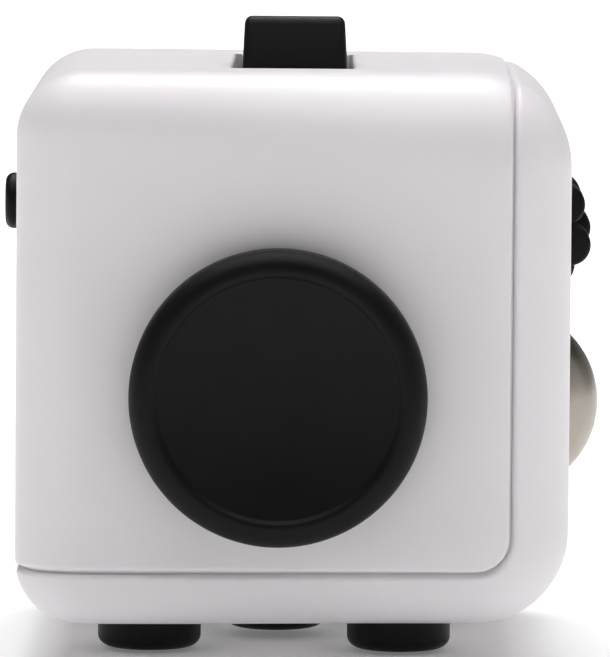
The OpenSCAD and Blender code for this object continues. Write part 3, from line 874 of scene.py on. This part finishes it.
def make_rocker():
    """The rocker: round shoulders along its top, round ends, and sides that lean in a little."""
    pivot = joint_place("switch_rock")
    low, high = local_box("switch_rocker")
    soft = 0.4
    taper = 0.06
    bm = bmesh.new()
    rings = []
    steps = 5
    for side in (-1, 1):
        shares = [math.pi / 2 * i / steps for i in range(steps + 1)]
        for a in (reversed(shares) if side < 0 else shares):
            shrink = soft * (1 - math.cos(a))
            edge_x = (low.x if side < 0 else high.x) - side * soft * (1 - math.sin(a))
            ring = []
            for y, z in rocker_outline(shrink):
                lean = taper * max(z - 2.5, 0)
                ring.append(bm.verts.new((edge_x - side * lean, y, pivot.z + z)))
            rings.append(ring)
    count = len(rings[0])
    for first, second in zip(rings, rings[1:]):
        for k in range(count):
            bm.faces.new([first[k], first[(k + 1) % count], second[(k + 1) % count], second[k]])
    bm.faces.new(list(reversed(rings[0])))
    bm.faces.new(rings[-1])
    piece = finish_bmesh(bm, "switch_rocker_moulding", MATERIALS["black_plastic"])
    place(piece, "switch", "black_plastic", "switch_rocker")


# ---- Room, light and camera ----

FLOOR_R = 4.0                   # metres
# The sky's grey at heights given as the sine of the elevation.
SKY = [(0.0, 0.6), (0.04, 0.33), (0.32, 0.02)]


def make_floor():
    """A round pale floor that glows a little, more so away from the cube."""
    bm = bmesh.new()
    lathe(bm, [(0.0, 0.0), (FLOOR_R, 0.0)], (0, 0, 0), (0, 0, 1), 96)
    mesh = bpy.data.meshes.new("floor")
    bm.to_mesh(mesh)
    bm.free()
    floor = bpy.data.objects.new("floor", mesh)
    bpy.context.scene.collection.objects.link(floor)
    m = Nodes("floor_paper")
    m.ramp(m.noise(6, 2), [(0.3, (0.95, 0.95, 0.95)), (0.7, (0.97, 0.97, 0.97))], "Base Color")
    distance = m.add("ShaderNodeVectorMath", operation="LENGTH")
    m.link(m.place, distance.inputs[0])
    m.ramp(distance.outputs["Value"], [(0.1, 0.14), (0.64, 0.55)], "Emission Strength")
    m.set(Roughness=0.8, Emission_Color=(1, 1, 1, 1))
    mesh.materials.append(m.material)


def area_light(name, place_from_cube, size, watts):
    """A soft white rectangle, aimed at the cube. Its place is in metres from the cube's middle."""
    data = bpy.data.lights.new(name, "AREA")
    data.shape = "RECTANGLE"
    data.size = data.size_y = size
    data.energy = watts
    light = bpy.data.objects.new(name, data)
    light.location = CENTRE + Vector(place_from_cube)
    light.rotation_mode = "QUATERNION"
    light.rotation_quaternion = (-Vector(place_from_cube)).to_track_quat("-Z", "Y")
    bpy.context.scene.collection.objects.link(light)


def make_light():
    """A wide softbox overhead, small ones behind and at each side, and a pale horizon."""
    world = bpy.data.worlds.new("studio")
    world.use_nodes = True
    tree = world.node_tree
    way = tree.nodes.new("ShaderNodeTexCoord")
    parts = tree.nodes.new("ShaderNodeSeparateXYZ")
    glow = tree.nodes.new("ShaderNodeValToRGB")
    while len(glow.color_ramp.elements) < len(SKY):
        glow.color_ramp.elements.new(0.5)
    for element, (height, grey) in zip(glow.color_ramp.elements, SKY):
        element.position = height
        element.color = (grey, grey, grey, 1)
    tree.links.new(way.outputs["Generated"], parts.inputs[0])
    tree.links.new(parts.outputs["Z"], glow.inputs["Fac"])
    tree.links.new(glow.outputs["Color"], tree.nodes["Background"].inputs["Color"])
    bpy.context.scene.world = world
    area_light("overhead", (0, 0, 0.95), 1.3, 12.2)
    area_light("behind", (0, 0.5, 0.85), 0.4, 2.8)
    area_light("right_side", (0.55, 0.05, 0.08), 0.5, 0.35)
    area_light("left_side", (-0.55, 0.05, 0.08), 0.5, 0.15)


def make_camera():
    """Almost level and a little above, from about fifteen cubes away."""
    distance, aside, above = 500.0, 2.0, 43.35
    target = Vector((0.65, 0, 0.15))
    roll = 0.0075
    lens_per_distance = 36 / 39.9                 # 39.9 mm fill the picture's height
    data = bpy.data.cameras.new("camera")
    data.sensor_width = 36
    data.lens = distance * lens_per_distance
    data.clip_start, data.clip_end = 0.01, 20
    camera = bpy.data.objects.new("camera", data)
    eye = Vector((aside, -distance, above))
    camera.location = CENTRE + eye * MM
    camera.rotation_mode = "QUATERNION"
    look = (target - eye).to_track_quat("-Z", "Y").to_matrix()
    camera.rotation_quaternion = (look @ Matrix.Rotation(roll, 3, "Z")).to_quaternion()
    bpy.context.scene.collection.objects.link(camera)
    bpy.context.scene.camera = camera


dress_cad_nodes()
make_shells()
make_joystick()
make_rocker()
make_dial()
make_gears()
make_ball()
make_buttons()
make_springs()
make_floor()
make_light()
make_camera()
bpy.context.scene.view_settings.view_transform = "Standard"
